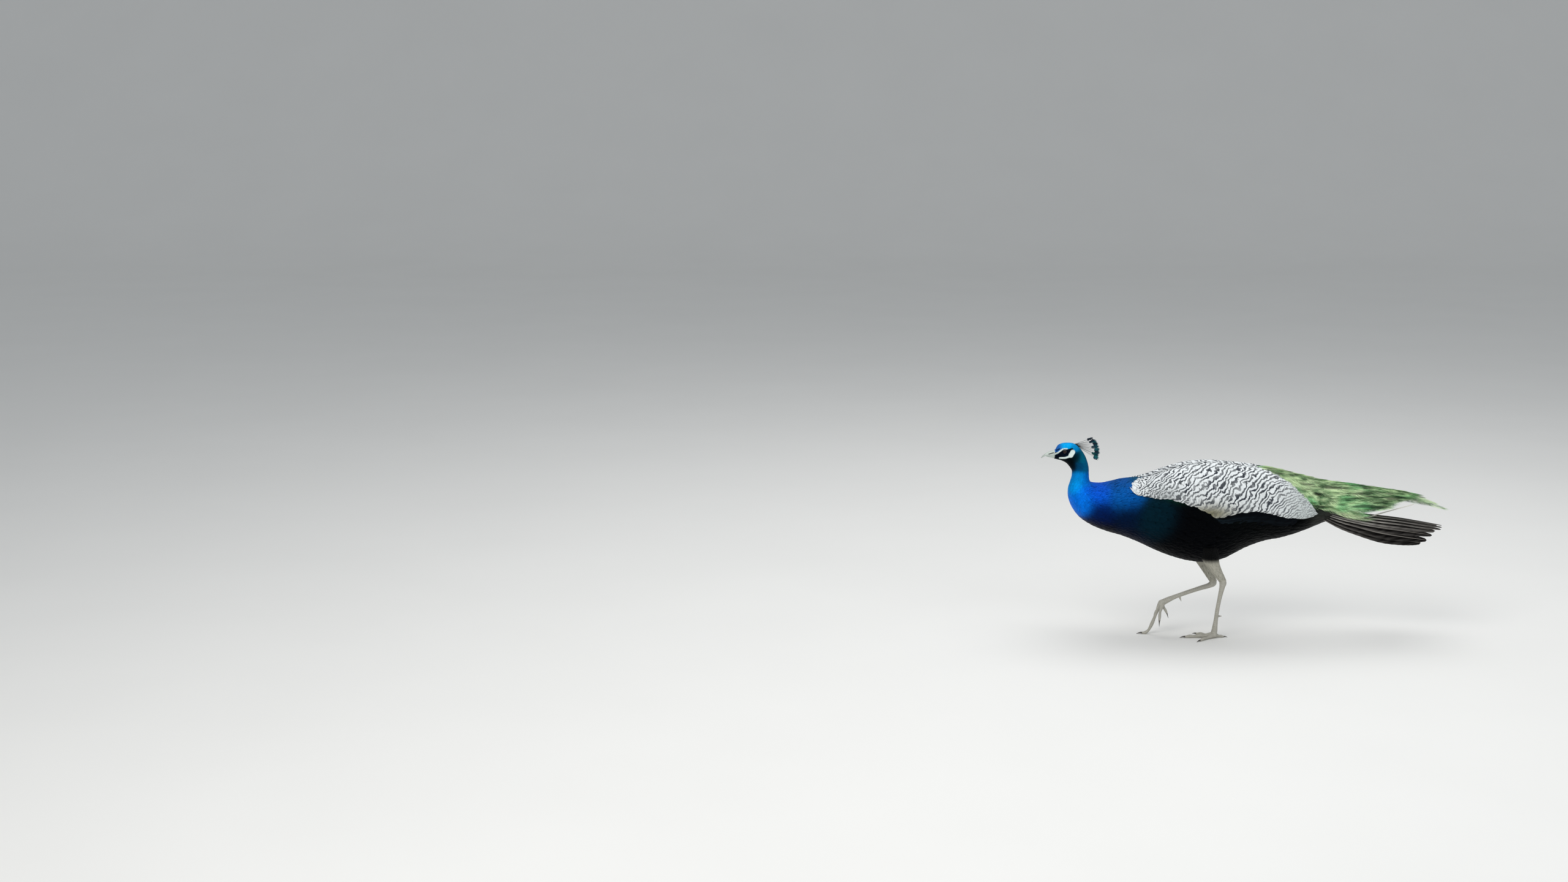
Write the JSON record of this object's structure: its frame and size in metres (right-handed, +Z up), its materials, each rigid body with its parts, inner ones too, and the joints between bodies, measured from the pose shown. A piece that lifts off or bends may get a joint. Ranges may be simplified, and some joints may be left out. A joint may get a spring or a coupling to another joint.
{
  "type": "walking peacock model",
  "caption": "Still life-size model of a walking peacock with a short moulting train, one foot flat and one toe touching the floor.",
  "frame": {"origin": "on the floor, under the middle of the length from bill tip to tail tip, in the bird's middle plane", "axes": "-X the way the bird faces, +X towards the tail, -Y the bird's left, +Z up"},
  "size_m": [1.062, 0.1944, 0.5301],
  "materials": {
    "blue_plumage": "iridescent blue feathers",
    "dark_plumage": "blue-black feathers with a green gloss",
    "barred_plumage": "matt cream feathers with wavy dark bars",
    "flight_plumage": "dark flight feathers with a dull gloss",
    "train_plumage": "loose green and bronze feathers",
    "tail_plumage": "dark brown feathers with pale shafts",
    "crest_plumage": "bare shafts with blue-green tips",
    "leg_plumage": "matt grey-buff down",
    "bill_horn": "pale horn, satin",
    "eye_surface": "wet, dark brown",
    "scaled_skin": "grey scaled skin",
    "claw_horn": "dark grey horn, satin"
  },
  "bodies": {
    "root": {"head": "blue_plumage", "neck": "blue_plumage", "breast": "blue_plumage", "trunk": "dark_plumage", "rump": "dark_plumage", "train_root": "train_plumage", "train_left": "train_plumage", "train_middle": "train_plumage", "train_right": "train_plumage", "tail_left": "tail_plumage", "tail_middle": "tail_plumage", "tail_right": "tail_plumage", "wing_left": "barred_plumage", "wing_right": "barred_plumage", "flight_left": "flight_plumage", "flight_right": "flight_plumage", "crest": "crest_plumage", "bill_upper": "bill_horn", "bill_lower": "bill_horn", "eye_left": "eye_surface", "eye_right": "eye_surface", "thigh_left": "leg_plumage", "thigh_right": "leg_plumage", "shank_left": "scaled_skin", "shank_right": "scaled_skin", "palm_left": "scaled_skin", "palm_right": "scaled_skin", "toe_middle_left": "scaled_skin", "toe_inner_left": "scaled_skin", "toe_outer_left": "scaled_skin", "toe_rear_left": "scaled_skin", "toe_middle_right": "scaled_skin", "toe_inner_right": "scaled_skin", "toe_outer_right": "scaled_skin", "toe_rear_right": "scaled_skin", "claw_middle_left": "claw_horn", "claw_inner_left": "claw_horn", "claw_outer_left": "claw_horn", "claw_rear_left": "claw_horn", "claw_middle_right": "claw_horn", "claw_inner_right": "claw_horn", "claw_outer_right": "claw_horn", "claw_rear_right": "claw_horn"}
  },
  "joints": []
}
